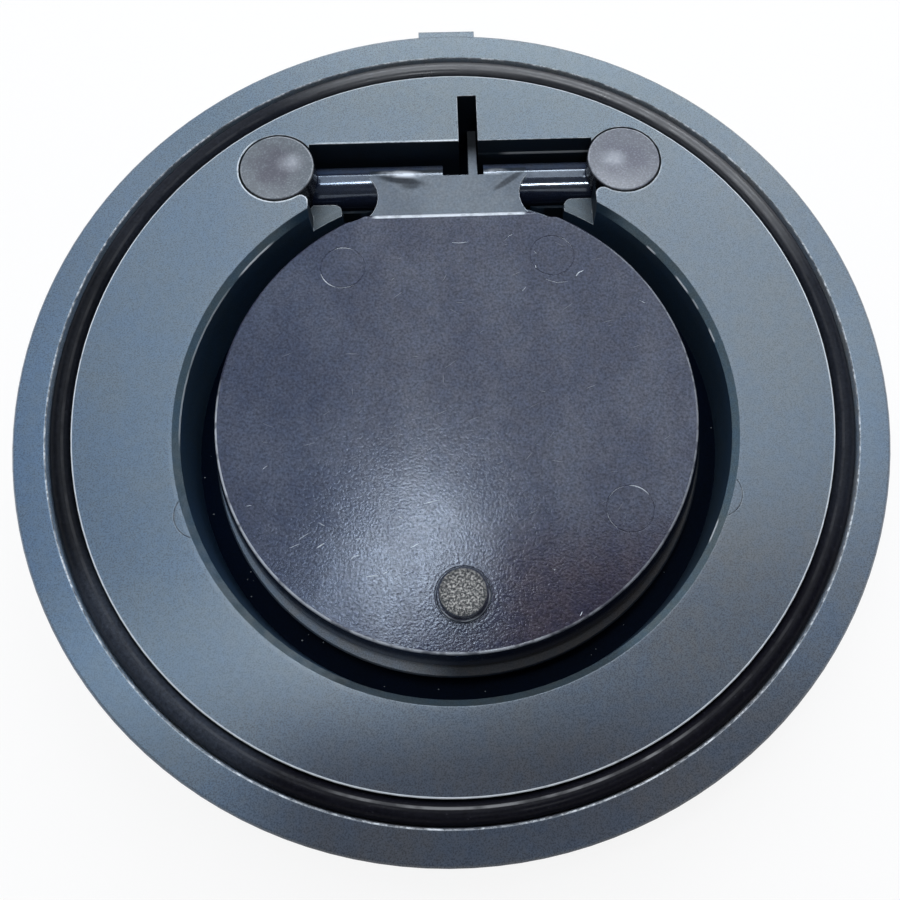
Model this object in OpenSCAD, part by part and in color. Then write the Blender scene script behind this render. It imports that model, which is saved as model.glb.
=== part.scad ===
/* [Body] */
// Outer diameter of the body, which drops in between the flange bolts
body_d = 218; // [214:0.5:222]
// Thickness from the inlet face to the outlet face
body_t = 30; // [29:0.5:34]
// Chamfer along the outer edges of the body
rim_chamfer = 0.6; // [0.3:0.1:1]
// Width of the flat pad on the rim, over the hinge
pad_w = 15.9; // [12:0.1:20]
// How far the pad stands out of the rim
pad_proud = 2.4; // [1:0.1:3]
// Distance from each flange face to the pad
pad_inset = 1.5; // [1:0.5:8]

/* [Face rings] */
// Mean diameter of the O-ring in each flange face
face_ring_d = 196.1; // [192:0.1:198]
// Thickness of the face O-ring
face_ring_cord = 5.3; // [5:0.1:5.6]
// How far the face O-ring stands out of its face
face_ring_proud = 0.5; // [0.3:0.1:0.9]
// Gap between the face O-ring and each side of its groove
face_ring_side_gap = 0.35; // [0.2:0.05:0.5]
// Width of the broken edge at a groove's mouth
groove_edge = 0.25; // [0.1:0.05:0.4]

/* [Seat and recess] */
// Diameter of the flow bore
flow_bore_d = 106; // [100:0.5:110]
// Chamfer at the flow bore's inlet mouth
flow_bore_lead = 2; // [1:0.5:4]
// How far the seat reaches past the flapper's rim
seat_margin = 0.4; // [0.2:0.1:1]
// Broken edge around the seat
seat_edge = 0.4; // [0.2:0.1:0.8]
// Height of the seat over the floor of the trough around it
seat_h = 6; // [4:0.5:8]
// Width of the trough between the seat and the recess wall
trough_w = 5.5; // [4:0.1:7]
// How far the recess centre lies from the disc centre, away from the hinge
recess_off = 2.4; // [1:0.1:3]
// Width of the chamfer at the recess mouth
recess_lead_w = 1.5; // [1:0.1:2]
// Depth of the chamfer at the recess mouth
recess_lead_h = 2; // [1:0.1:3]

/* [Hinge] */
// Angle of each hinge plug from the hinge's centre line
plug_angle = 35.4; // [34:0.1:37]
// Wall between a plug's hole and the groove of the face ring
plug_wall = 3.2; // [2:0.1:5]
// Distance of the hinge's middle from the centre line, to the right
hinge_right = 0.35; // [0:0.05:0.6]
// Height of the hinge axis over the disc's lower face
hinge_rise = 0.5; // [0:0.1:1]
// Diameter of the hinge barrel and its trunnions
barrel_d = 11.8; // [10.4:0.1:12]
// How far a trunnion reaches past the centre of its plug
trunnion_reach = 3.5; // [1:0.1:6]
// Running gap around a trunnion
bearing_gap = 0.1; // [0.05:0.01:0.15]
// Gap between the barrel and the pocket's back wall
pocket_back_gap = 1.2; // [0.8:0.1:2]
// Gap between the barrel and the pocket's front wall
pocket_front_gap = 0.4; // [0.3:0.1:0.8]
// Gap between the barrel and the pocket floor
pocket_floor_gap = 1; // [0.6:0.1:2]
// Distance from a plug's centre to the end of the pocket
pocket_inset = 8.4; // [7.8:0.1:8.8]
// Length of each lug, inwards from the pocket's end
lug_l = 7.8; // [6:0.1:9]
// Depth of the lug tops, from the outlet face
lug_depth = 9.2; // [8:0.1:10.5]
// Corner radius of each lug
lug_r = 2.3; // [1:0.1:3]
// Thickness of the thin wall between the pocket and the trough
ridge_w = 0.8; // [0.6:0.1:1.5]
// Gap between that wall and the disc's lower face
ridge_gap = 0.5; // [0.3:0.1:2]
// Radius of the nose beside each plug
nose_r = 2; // [1.5:0.1:2.4]
// Depth of the ledge along the right half of the pocket's back wall
ledge_depth = 5.9; // [4:0.1:8]
// Width of that ledge
ledge_w = 0.4; // [0.2:0.1:0.6]

/* [Hinge plugs] */
// Diameter of the plug caps
plug_d = 20; // [19:0.1:21]
// How far the plugs stand out of the outlet face
plug_proud = 0.3; // [0.2:0.1:1]
// Height of a plug's cap
plug_cap_h = 5; // [3:0.1:5.5]
// Gap around a plug in its hole
plug_gap = 0.4; // [0.2:0.05:0.5]
// How much slimmer a plug's stem is than its cap, on each side
plug_step = 0.3; // [0.1:0.1:1]
// Depth of the shallow dish in a plug's top
plug_dish = 0.5; // [0.2:0.1:0.8]
// Rounding of a plug cap's top edge
plug_edge = 0.5; // [0.2:0.1:0.8]

/* [Flapper disc] */
// Depth of the disc's top face, from the outlet face
disc_depth = 3.5; // [3:0.1:4.4]
// Thickness of the disc
disc_t = 8.5; // [7.5:0.1:9]
// Width of the disc's lip outside the groove of the sealing ring
disc_lip = 2.75; // [2:0.05:4]
// How much the disc narrows on each side towards its top face
disc_flare = 1.8; // [1:0.1:2]
// Rounding of the disc's top edge
disc_edge = 0.6; // [0.3:0.1:1]
// Space between the shut disc and the seat
seat_space = 2; // [1.5:0.1:2.5]

/* [Flapper neck] */
// Distance from the disc's lower rim to the hinge axis
neck_l = 6.2; // [5.5:0.1:8]
// Distance from the disc's top edge to the step where the neck begins
step_in = 5; // [4:0.1:7]
// Width of the rounded edge along that step
step_edge = 1.2; // [0.6:0.1:1.6]
// Width of the neck at its waist
neck_w = 39; // [36:0.2:42]
// Distance of the neck from the centre line, to the left
neck_left = 0.8; // [0:0.1:1.5]
// Radius of the hollow flanks on the neck
flank_r = 9; // [8:0.1:10]
// Distance from the hinge axis to the neck's waist
waist_back = 6.4; // [5.5:0.1:7.5]

/* [Stop arm] */
// Distance of the stop arm from the centre line
arm_x = 6.1; // [4:0.1:9]
// Thickness of the stop arm
arm_w = 2.5; // [2:0.1:3]
// Height of the stop arm
arm_h = 6; // [5:0.1:7]
// Reach of the stop arm from the hinge axis
arm_l = 14.2; // [13:0.1:15]
// Gap between the arm and the left side of its slot
slot_gap_left = 2.4; // [0.4:0.1:4]
// Gap between the arm and the right side of its slot
slot_gap_right = 0.4; // [0.3:0.1:4]
// Gap between the arm's tip and the slot's end wall
slot_end_gap = 7.6; // [2:0.1:9]
// Gap in the barrel to the left of the arm
window_left = 7.1; // [3:0.1:8]
// Gap in the barrel to the right of the arm
window_right = 1.7; // [1:0.1:4]
// Angle through which the flapper opens
swing_deg = 55; // [40:1:58]
// Gap left under the stop arm when the flapper is fully open
stop_gap = 0.3; // [0.2:0.1:0.8]

/* [Moulding stud] */
// Diameter of the stud on the disc
stud_d = 11.7; // [9:0.1:13]
// Height of the stud
stud_h = 4.3; // [3:0.1:5]
// Distance of the stud from the disc's top edge
stud_in = 14; // [10:0.1:20]
// Distance of the stud from the centre line, to the left
stud_left = 0.3; // [0:0.1:2]
// How far the low collar reaches past the stud
collar_w = 0.7; // [0.4:0.1:1.5]
// Height of the low collar
collar_h = 0.3; // [0.2:0.1:0.6]
// Width of the parting groove around the collar
parting_w = 0.3; // [0.2:0.05:0.6]

/* [Flapper seal] */
// Thickness of the sealing O-ring under the disc
seal_cord = 5; // [4.6:0.1:5.3]
// Width of the seat inside the sealing O-ring
seal_inset = 2; // [1:0.1:3]
// Gap between the sealing O-ring and the seat when the flapper is shut
seal_gap = 0.2; // [0.1:0.05:0.3]
// Gap between the sealing O-ring and each side of its groove
seal_side_gap = 0.25; // [0.15:0.05:0.4]

/* [Hidden] */
$fn = 96;

eps = 0.01; // overlap between shapes that are joined or cut
over = 10; // how far a cut runs past an open face
floor_gap = 0.1; // space between a seated piece and its floor
witness_line = 0.2; // width of a pin's witness ring
witness_cut = 0.08; // depth of a pin's witness ring
witness_r = 5.9; // radius of a pin's witness ring

// Heights, from the inlet face upwards
disc_top_z = body_t - disc_depth;
disc_low_z = disc_top_z - disc_t;
seat_z = disc_low_z - seat_space;
trough_z = seat_z - seat_h;
ridge_z = disc_low_z - ridge_gap;
lug_z = body_t - lug_depth;
seal_z = seat_z + seal_gap + seal_cord / 2;
seal_groove_top_z = seal_z + seal_cord / 2 + floor_gap;
barrel_r = barrel_d / 2;
bearing_r = barrel_r + bearing_gap;
hinge_z = disc_low_z + hinge_rise;
neck_top_z = hinge_z + barrel_r;
pocket_z = hinge_z - barrel_r - pocket_floor_gap;
cradle_z = hinge_z - bearing_r;

// Radii, from the flow bore outwards
body_r = body_d / 2;
bore_r = flow_bore_d / 2;
seal_r = bore_r + seal_inset + seal_cord / 2;
seal_groove_w = seal_cord + 2 * seal_side_gap;
rim_r = seal_r + seal_groove_w / 2 + disc_lip;
disc_r = rim_r - disc_flare;
seat_r = rim_r + seat_margin;
recess_r = seat_r + trough_w;
face_ring_r = face_ring_d / 2;
face_groove_w = face_ring_cord + 2 * face_ring_side_gap;
face_groove_depth = face_ring_cord - face_ring_proud + floor_gap;

// The plugs lie inside the face ring's groove, and the hinge axis runs through both
plug_r = plug_d / 2;
plug_hole_r = plug_r + plug_gap;
plug_reach = face_ring_r - face_groove_w / 2 - plug_wall - plug_hole_r;
plug_x = plug_reach * sin(plug_angle);
hinge_y = plug_reach * cos(plug_angle);
barrel_l = 2 * (plug_x + trunnion_reach);
pocket_x = plug_x - pocket_inset;
pocket_back_y = hinge_y + barrel_r + pocket_back_gap;
pocket_front_y = hinge_y - barrel_r - pocket_front_gap;
gate_x = pocket_x - lug_l;
gate_low_y = hinge_y - recess_r / 3;
nose_x = pocket_x + nose_r;
nose_y = hinge_y - sqrt(pow(plug_hole_r + nose_r, 2) - pow(plug_x - nose_x, 2));

// The disc hangs from the hinge, and the seat and recess lie under the disc
disc_y = hinge_y - neck_l - rim_r;
recess_y = disc_y - recess_off;
step_y = disc_y + disc_r - step_in;
waist_y = hinge_y - waist_back;

arm_low = barrel_r - arm_h;
arm_drop = norm([arm_l, arm_low]) * sin(swing_deg - atan2(arm_low, arm_l));
slot_left_x = arm_x - arm_w / 2 - slot_gap_left;
slot_right_x = arm_x + arm_w / 2 + slot_gap_right;
slot_z = hinge_z - arm_drop - stop_gap;
slot_end_y = hinge_y + arm_l + slot_end_gap;

// Centres of the round marks that ejector pins left: on the disc from its centre, on the face from the recess
disc_marks = [[-29.5, 40.3], [41.4, -28.1], [26.4, 42.2]];
face_marks = [[-62.6, -23.4], [62.6, -23.4]];

body_colour = [0.44, 0.50, 0.56];
flapper_colour = [0.34, 0.38, 0.45];
plug_colour = [0.47, 0.50, 0.56];
rubber_colour = [0.07, 0.07, 0.08];

module both_sides() {
    children();
    mirror([1, 0, 0]) children();
}

module at_hinge() {
    translate([hinge_right, 0, 0]) children();
}

module ring(mean_r, cord_r) {
    rotate_extrude($fn = 180) translate([mean_r, 0]) circle(cord_r, $fn = 48);
}

// Ring-shaped line, cut down from z = 0
module line_ring(mean_r, line_w, line_depth) {
    translate([0, 0, -line_depth]) difference() {
        cylinder(r = mean_r + line_w / 2, h = over);
        translate([0, 0, -eps]) cylinder(r = mean_r - line_w / 2, h = over + 2 * eps);
    }
}

module witness_rings(marks, centre_y, top_z) {
    for (mark = marks)
        translate([mark[0], centre_y + mark[1], top_z]) line_ring(witness_r, witness_line, witness_cut);
}

// The groove of a face ring, cut down from z = 0
module face_groove() {
    inner = face_ring_r - face_groove_w / 2;
    outer = face_ring_r + face_groove_w / 2;
    rotate_extrude($fn = 180) polygon([
        [inner, -face_groove_depth],
        [outer, -face_groove_depth],
        [outer, -groove_edge],
        [outer + groove_edge + eps, eps],
        [inner - groove_edge - eps, eps],
        [inner, -groove_edge]
    ]);
}

module body_blank() {
    rotate_extrude($fn = 180) polygon([
        [0, 0],
        [body_r - rim_chamfer, 0],
        [body_r, rim_chamfer],
        [body_r, body_t - rim_chamfer],
        [body_r - rim_chamfer, body_t],
        [0, body_t]
    ]);
    translate([-pad_w / 2, body_r / 2, pad_inset])
        cube([pad_w, body_r / 2 + pad_proud, body_t - 2 * pad_inset]);
}

// Round hollow for the disc, with its mouth chamfer, its seat and the trough around the seat
module recess_cut() {
    lead_r = recess_r + recess_lead_w;
    translate([0, recess_y, 0])
        rotate_extrude($fn = 180) polygon([
            [0, seat_z],
            [seat_r - seat_edge, seat_z],
            [seat_r, seat_z - seat_edge],
            [seat_r, trough_z],
            [recess_r, trough_z],
            [recess_r, body_t - recess_lead_h],
            [lead_r, body_t],
            [lead_r, body_t + over],
            [0, body_t + over]
        ]);
    translate([0, disc_y, 0]) {
        translate([0, 0, -over]) cylinder(r = bore_r, h = body_t + over, $fn = 180);
        translate([0, 0, -eps]) cylinder(r1 = bore_r + flow_bore_lead, r2 = bore_r, h = flow_bore_lead, $fn = 180);
    }
}

// The corner that rounds off the nose between the pocket and the plug hole
module nose_cut() {
    translate([0, 0, lug_z]) difference() {
        linear_extrude(body_t) polygon([
            [nose_x - nose_r, nose_y],
            [nose_x - nose_r, pocket_front_y + nose_r],
            [plug_x, hinge_y],
            [nose_x, nose_y]
        ]);
        translate([nose_x, nose_y, -eps]) cylinder(r = nose_r, h = body_t + 2 * eps);
    }
}

// Opening over the lugs, with the deeper way for the neck between them
module lug_cut() {
    translate([-pocket_x, gate_low_y, lug_z]) cube([2 * pocket_x, hinge_y - gate_low_y, body_t]);
    difference() {
        translate([-gate_x - lug_r, gate_low_y, ridge_z])
            cube([2 * (gate_x + lug_r), hinge_y - gate_low_y, body_t]);
        both_sides() lug_corner();
    }
}

// The way goes on down to the trough's floor, outside the seat
module lug_way_cut() {
    difference() {
        translate([hinge_right - gate_x, gate_low_y, trough_z])
            cube([2 * gate_x, pocket_front_y - ridge_w - gate_low_y, ridge_z - trough_z + eps]);
        translate([0, recess_y, 0]) cylinder(r = seat_r, h = body_t, $fn = 180);
    }
}

// What stays of a lug beside the way for the neck
module lug_corner() {
    translate([gate_x, gate_low_y - eps, ridge_z - eps])
        cube([lug_r + eps, pocket_front_y - lug_r - gate_low_y + eps, body_t]);
    translate([gate_x + lug_r, pocket_front_y - lug_r, ridge_z - eps]) cylinder(r = lug_r, h = body_t);
}

// Trench for the barrel, with the ledge along the right half of its back wall
module pocket_cut() {
    trench_l = pocket_back_y - pocket_front_y;
    translate([-pocket_x, pocket_front_y, pocket_z])
        cube([2 * pocket_x, trench_l - ledge_w, body_t]);
    translate([-pocket_x, pocket_front_y, pocket_z])
        cube([pocket_x + slot_right_x - hinge_right, trench_l, body_t]);
    translate([0, pocket_front_y, body_t - ledge_depth]) cube([pocket_x, trench_l, body_t]);
}

module plug_hole() {
    translate([plug_x, hinge_y, cradle_z - floor_gap]) cylinder(r = plug_hole_r, h = body_t);
}

module slot_cut() {
    translate([slot_left_x, hinge_y, slot_z])
        cube([slot_right_x - slot_left_x, slot_end_y - hinge_y, body_t]);
}

module body() {
    color(body_colour) difference() {
        body_blank();
        translate([0, 0, body_t]) face_groove();
        mirror([0, 0, 1]) face_groove();
        recess_cut();
        lug_way_cut();
        at_hinge() {
            lug_cut();
            pocket_cut();
            both_sides() {
                nose_cut();
                plug_hole();
            }
        }
        slot_cut();
        witness_rings(face_marks, recess_y, body_t);
    }
}

module disc() {
    translate([0, disc_y, 0]) rotate_extrude($fn = 180) polygon([
        [0, disc_low_z],
        [rim_r - disc_edge / 2, disc_low_z],
        [rim_r, disc_low_z + disc_edge / 2],
        [disc_r, disc_top_z - disc_edge],
        [disc_r - disc_edge / 3, disc_top_z - disc_edge / 3],
        [disc_r - disc_edge, disc_top_z],
        [0, disc_top_z]
    ]);
}

module seal_groove() {
    translate([0, disc_y, disc_low_z - eps]) difference() {
        cylinder(r = seal_r + seal_groove_w / 2, h = seal_groove_top_z - disc_low_z + eps, $fn = 180);
        translate([0, 0, -eps]) cylinder(r = seal_r - seal_groove_w / 2, h = body_t, $fn = 180);
    }
}

// The step down from the disc to the neck, cut across the disc with a rounded edge
module step_cut() {
    drop = disc_top_z - neck_top_z;
    edge_line = [for (turn = [0 : 15 : 90])
        [step_y - step_edge * (1 - sin(turn)), disc_top_z - step_edge * (1 - cos(turn))]];
    rotate([90, 0, 90]) translate([0, 0, -body_r]) linear_extrude(body_d) polygon(concat(edge_line, [
        [step_y + drop / 4, neck_top_z],
        [step_y + body_r, neck_top_z],
        [step_y + body_r, disc_top_z + over],
        [step_y - step_edge, disc_top_z + over]
    ]));
}

// Hollow flank of the neck, which also trims the disc's shoulder above the seal groove
module flank_cut() {
    translate([neck_w / 2 + flank_r, waist_y, seal_groove_top_z + floor_gap])
        cylinder(r = flank_r, h = body_t);
}

module barrel() {
    at_hinge() translate([-barrel_l / 2, hinge_y, hinge_z]) rotate([0, 90, 0])
        cylinder(r = barrel_r, h = barrel_l);
}

module stud_place() {
    translate([-stud_left, disc_y - disc_r + stud_in, disc_top_z]) children();
}

module stud() {
    chamfer = collar_h;
    stud_place() {
        translate([0, 0, -eps]) cylinder(d = stud_d, h = stud_h - chamfer + eps);
        translate([0, 0, stud_h - chamfer])
            cylinder(r1 = stud_d / 2, r2 = stud_d / 2 - chamfer, h = chamfer);
        translate([0, 0, -eps])
            cylinder(r1 = stud_d / 2 + collar_w, r2 = stud_d / 2 + collar_w - chamfer, h = collar_h + eps);
    }
}

module parting_groove() {
    stud_place() line_ring(stud_d / 2 + collar_w + parting_w / 2, parting_w, parting_w);
}

// Both sides of the neck below its hollow flanks, trimmed outside the disc
module neck_side_cuts() {
    difference() {
        translate([-neck_left, 0, 0]) both_sides() translate([neck_w / 2, step_y - eps, disc_low_z])
            cube([2 * flank_r, hinge_y - step_y + over, seal_groove_top_z + 2 * floor_gap - disc_low_z]);
        translate([0, disc_y, disc_low_z - eps]) cylinder(r = rim_r + eps, h = body_t, $fn = 180);
    }
}

module neck() {
    side = neck_w / 2 + flank_r;
    translate([-neck_left - side, step_y, disc_low_z + disc_edge])
        cube([2 * side, hinge_y - step_y, neck_top_z - disc_low_z - disc_edge]);
}

module stop_arm() {
    translate([arm_x - arm_w / 2, hinge_y - eps, neck_top_z - arm_h]) cube([arm_w, arm_l + eps, arm_h]);
}

module flapper() {
    color(flapper_colour) {
        difference() {
            union() {
                disc();
                neck();
            }
            step_cut();
            seal_groove();
            translate([-neck_left, 0, 0]) both_sides() flank_cut();
            neck_side_cuts();
            witness_rings(disc_marks, disc_y, disc_top_z);
            parting_groove();
        }
        difference() {
            barrel();
            translate([arm_x - arm_w / 2 - window_left, hinge_y, hinge_z - over])
                cube([window_left + arm_w + window_right, over, 2 * over]);
        }
        stop_arm();
        stud();
    }
}

module flapper_seal() {
    color(rubber_colour) translate([0, disc_y, seal_z]) ring(seal_r, seal_cord / 2);
}

// One hinge plug at its place on the right: a dished cap on a stem that straddles the trunnion
module hinge_plug() {
    stem_r = plug_r - plug_step;
    cap_z = body_t + plug_proud - plug_cap_h;
    top_z = body_t + plug_proud;
    rim = plug_r - plug_edge;
    dish_r = (pow(rim, 2) + pow(plug_dish, 2)) / (2 * plug_dish);
    arch_l = barrel_l / 2 + stem_r - plug_x + 2 * bearing_gap;
    translate([plug_x, hinge_y, 0]) difference() {
        union() {
            translate([0, 0, cradle_z]) cylinder(r = stem_r, h = cap_z - cradle_z + eps);
            rotate_extrude() polygon([
                [0, cap_z],
                [plug_r, cap_z],
                [plug_r, top_z - plug_edge],
                [plug_r - plug_edge / 3, top_z - plug_edge / 3],
                [rim, top_z],
                [0, top_z]
            ]);
        }
        translate([0, 0, top_z - plug_dish + dish_r]) sphere(dish_r, $fn = 180);
        translate([-stem_r - over, 0, hinge_z]) rotate([0, 90, 0]) cylinder(r = bearing_r, h = arch_l + over);
        translate([-stem_r - over, -bearing_r, hinge_z - barrel_d])
            cube([arch_l + over, 2 * bearing_r, barrel_d]);
    }
}

module hinge_plug_left() {
    color(plug_colour) at_hinge() mirror([1, 0, 0]) hinge_plug();
}

module hinge_plug_right() {
    color(plug_colour) at_hinge() hinge_plug();
}

module outlet_face_ring() {
    color(rubber_colour) translate([0, 0, body_t + face_ring_proud - face_ring_cord / 2])
        ring(face_ring_r, face_ring_cord / 2);
}

module inlet_face_ring() {
    color(rubber_colour) translate([0, 0, face_ring_cord / 2 - face_ring_proud])
        ring(face_ring_r, face_ring_cord / 2);
}

body();
flapper();
flapper_seal();
hinge_plug_left();
hinge_plug_right();
outlet_face_ring();
inlet_face_ring();
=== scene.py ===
import bpy
import bmesh
import math
import random
from mathutils import Euler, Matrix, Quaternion, Vector
from types import SimpleNamespace


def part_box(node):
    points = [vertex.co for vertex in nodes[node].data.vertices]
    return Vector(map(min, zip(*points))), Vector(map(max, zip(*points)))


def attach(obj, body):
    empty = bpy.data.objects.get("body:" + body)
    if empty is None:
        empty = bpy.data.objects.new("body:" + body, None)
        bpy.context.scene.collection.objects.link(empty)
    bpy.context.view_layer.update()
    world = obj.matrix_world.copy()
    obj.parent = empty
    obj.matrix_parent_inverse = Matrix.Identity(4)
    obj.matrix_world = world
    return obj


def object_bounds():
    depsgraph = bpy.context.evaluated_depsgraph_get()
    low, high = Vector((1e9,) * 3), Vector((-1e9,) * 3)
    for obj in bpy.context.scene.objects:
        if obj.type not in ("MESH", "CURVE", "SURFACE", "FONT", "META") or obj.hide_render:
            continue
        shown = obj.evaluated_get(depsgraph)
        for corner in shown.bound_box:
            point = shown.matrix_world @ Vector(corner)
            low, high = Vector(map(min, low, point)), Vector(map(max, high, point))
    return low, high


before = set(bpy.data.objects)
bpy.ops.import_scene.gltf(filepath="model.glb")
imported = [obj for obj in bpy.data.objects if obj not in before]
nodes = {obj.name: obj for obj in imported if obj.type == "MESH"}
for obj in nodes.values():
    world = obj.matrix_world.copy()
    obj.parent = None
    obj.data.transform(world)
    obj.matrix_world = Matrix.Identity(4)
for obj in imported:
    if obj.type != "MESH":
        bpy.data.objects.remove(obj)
for starter in ("Cube", "Light", "Camera"):  # what a new file starts with
    if starter in bpy.data.objects:
        bpy.data.objects.remove(bpy.data.objects[starter])
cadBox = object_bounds()
mm = 0.001
softEdge = 0.1 * mm  # over which the masks of small parts fade
print("stage 1: frame loaded,", len(nodes), "nodes")


# Measures that the finishes line up with, read from the frame
def middleOf(name):
    low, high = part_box(name)
    return (low + high) / 2


def sizeOf(name):
    low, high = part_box(name)
    return high - low


discFlare = 1.8 * mm  # how far the disc's side flares out below its top
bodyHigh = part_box("body")[1].z
discCentre = middleOf("flapper_seal")
plugCentres = {side: middleOf("hinge_plug_" + side) for side in ("left", "right")}
ringCord = sizeOf("outlet_face_ring").z
ringRadius = sizeOf("outlet_face_ring").x / 2 - ringCord / 2
discRadius = discCentre.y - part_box("flapper")[0].y - discFlare
plain = (1.0, 1.0, 1.0)


# Node helpers: a socket given as an input is linked, anything else is set on the socket
def newMaterial(name):
    material = bpy.data.materials.new(name)
    material.use_nodes = True
    material.node_tree.nodes.clear()
    return material, material.node_tree


def addNode(tree, kind, inputs=None, **settings):
    node = tree.nodes.new("ShaderNode" + kind)
    for key, value in settings.items():
        setattr(node, key, value)
    for key, value in (inputs or {}).items():
        if isinstance(value, bpy.types.NodeSocket):
            tree.links.new(value, node.inputs[key])
        else:
            node.inputs[key].default_value = value
    return node


def calc(tree, operation, first, second=0.0):
    return addNode(tree, "Math", {0: first, 1: second}, operation=operation).outputs[0]


def apart(tree, first, second):
    return calc(tree, "ABSOLUTE", calc(tree, "SUBTRACT", first, second))


def multiply(tree, first, *others):
    for other in others:
        first = calc(tree, "MULTIPLY", first, other)
    return first


def highest(tree, first, *others):
    for other in others:
        first = calc(tree, "MAXIMUM", first, other)
    return first


def vectors(tree, operation, first, second=None):
    inputs = {0: first} if second is None else {0: first, 1: second}
    return addNode(tree, "VectorMath", inputs, operation=operation).outputs


# Values: a measure mapped from one range to another, a mask and a noise turned into two values
def rangeOf(tree, value, low, high, toLow=0.0, toHigh=1.0, smooth=True):
    inputs = {"Value": value, "From Min": low, "From Max": high, "To Min": toLow, "To Max": toHigh}
    kind = "SMOOTHSTEP" if smooth else "LINEAR"
    return addNode(tree, "MapRange", inputs, interpolation_type=kind).outputs["Result"]


def bandOf(tree, value, low, high, soft=softEdge):
    return multiply(tree, rangeOf(tree, value, low - soft, low), rangeOf(tree, value, high + soft, high))


def shareOf(tree, mask, outside, inside, smooth=True):
    return rangeOf(tree, mask, 0.0, 1.0, outside, inside, smooth)


def spreadOf(tree, noise, low, high, smooth=True):
    return rangeOf(tree, noise, 0.3, 0.7, low, high, smooth)


# Colours
def withAlpha(value):
    return value if isinstance(value, bpy.types.NodeSocket) else (*value, 1.0)


def blendColour(tree, factor, first, second):
    inputs = {0: factor, 6: withAlpha(first), 7: withAlpha(second)}
    return addNode(tree, "Mix", inputs, data_type="RGBA", blend_type="MIX").outputs[2]


def tinted(tree, colour, tint):
    return vectors(tree, "MULTIPLY", colour, tint)[0]


def scaled(tree, colour, factor):
    return addNode(tree, "VectorMath", {0: colour, "Scale": factor}, operation="SCALE").outputs[0]


def grained(tree, colour, grain, low, high):
    return scaled(tree, colour, spreadOf(tree, grain, low, high, smooth=False))


def mottled(tree, colour, noise, cool, warm, half=0.14):
    share = rangeOf(tree, noise, 0.5 - half, 0.5 + half)
    return tinted(tree, colour, blendColour(tree, share, cool, warm))


# Places on a surface, in the frame's axes, which move with the piece
def surfaceOf(tree):
    found = addNode(tree, "TexCoord").outputs
    x, y, height = addNode(tree, "SeparateXYZ", {0: found["Object"]}).outputs
    facing = addNode(tree, "SeparateXYZ", {0: found["Normal"]}).outputs["Z"]
    return SimpleNamespace(place=found["Object"], x=x, y=y, height=height, facing=facing)


def upMask(tree, spot):
    return rangeOf(tree, spot.facing, 0.6, 0.95)


def noiseOf(tree, place, cell, detail=2.0, rough=0.5, stretch=None):
    if stretch:
        place = addNode(tree, "Mapping", {"Vector": place, "Scale": stretch}).outputs[0]
    inputs = {"Vector": place, "Scale": 1 / cell, "Detail": detail, "Roughness": rough}
    return addNode(tree, "TexNoise", inputs).outputs["Fac"]


def flatDistance(tree, place, centre):
    flat = vectors(tree, "MULTIPLY", place, (1.0, 1.0, 0.0))[0]
    return vectors(tree, "DISTANCE", flat, (centre[0], centre[1], 0.0))["Value"]


def towards(tree, place, centre, angle, spread, fade):
    away = vectors(tree, "SUBTRACT", place, (centre[0], centre[1], 0.0))[0]
    unit = vectors(tree, "NORMALIZE", vectors(tree, "MULTIPLY", away, (1.0, 1.0, 0.0))[0])[0]
    aim = (math.cos(math.radians(angle)), math.sin(math.radians(angle)), 0.0)
    along = vectors(tree, "DOT_PRODUCT", unit, aim)["Value"]
    return rangeOf(tree, along, math.cos(math.radians(spread + fade)), math.cos(math.radians(spread)))


def aimMasks(tree, place, centre, aims):
    return {name: towards(tree, place, centre, *aim) for name, aim in aims.items()}


def highestAim(tree, place, centre, aims):
    return highest(tree, *[multiply(tree, towards(tree, place, centre, *aim), strength)
                           for *aim, strength in aims])


def circleLine(tree, distance, radius, width):
    return rangeOf(tree, apart(tree, distance, radius), width / 2, width / 4)


def ovalSpot(tree, place, centre, size, turn, soft):
    moved = vectors(tree, "SUBTRACT", place, (centre[0] * mm, centre[1] * mm, 0))[0]
    turned = addNode(tree, "VectorRotate", {"Vector": moved, "Angle": math.radians(-turn)},
                     rotation_type="Z_AXIS").outputs[0]
    shrunk = vectors(tree, "MULTIPLY", turned, (1 / (size[0] * mm), 1 / (size[1] * mm), 0))[0]
    return rangeOf(tree, vectors(tree, "LENGTH", shrunk)["Value"], 1 + soft, 1 - soft)


def ovalsOf(tree, place, ovals):
    spots = []
    for oval in ovals:
        spot = ovalSpot(tree, place, oval["centre"], oval["size"], oval["turn"], oval["soft"])
        spots.append(multiply(tree, spot, oval["depth"]))
    return highest(tree, *spots)


# A region as the product of fades: what is measured, where the fade starts and ends in mm, and its two values
def fadesOf(tree, spot, fades):
    return multiply(tree, *[rangeOf(tree, getattr(spot, measure), start * mm, end * mm, *values)
                            for measure, start, end, *values in fades])


# painted light and shade, gathered into one tint
def hueOf(tree, spot, paintedLightTints):
    hue = plain
    for tint in paintedLightTints.values():
        share = fadesOf(tree, spot, tint["fades"])
        hue = tinted(tree, hue, blendColour(tree, share, plain, tint["colour"]))
    return hue


# Edges, relief and the finished shader
def edgeMask(tree, radius):
    bevel = addNode(tree, "Bevel", {"Radius": radius}, samples=6).outputs[0]
    flat = addNode(tree, "NewGeometry").outputs["Normal"]
    along = vectors(tree, "DOT_PRODUCT", bevel, flat)["Value"]
    return bevel, rangeOf(tree, along, 0.998, 0.93)


def bumpOf(tree, height, strength, depth, normal=None):
    inputs = {"Height": height, "Strength": strength, "Distance": depth}
    if normal is not None:
        inputs["Normal"] = normal
    return addNode(tree, "Bump", inputs).outputs["Normal"]


def setSurface(tree, shader):
    addNode(tree, "OutputMaterial", {"Surface": shader.outputs[0]})


def finishMaterial(tree, **inputs):
    inputs = {key.replace("_", " "): value for key, value in inputs.items()}
    setSurface(tree, addNode(tree, "BsdfPrincipled", inputs))


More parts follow.
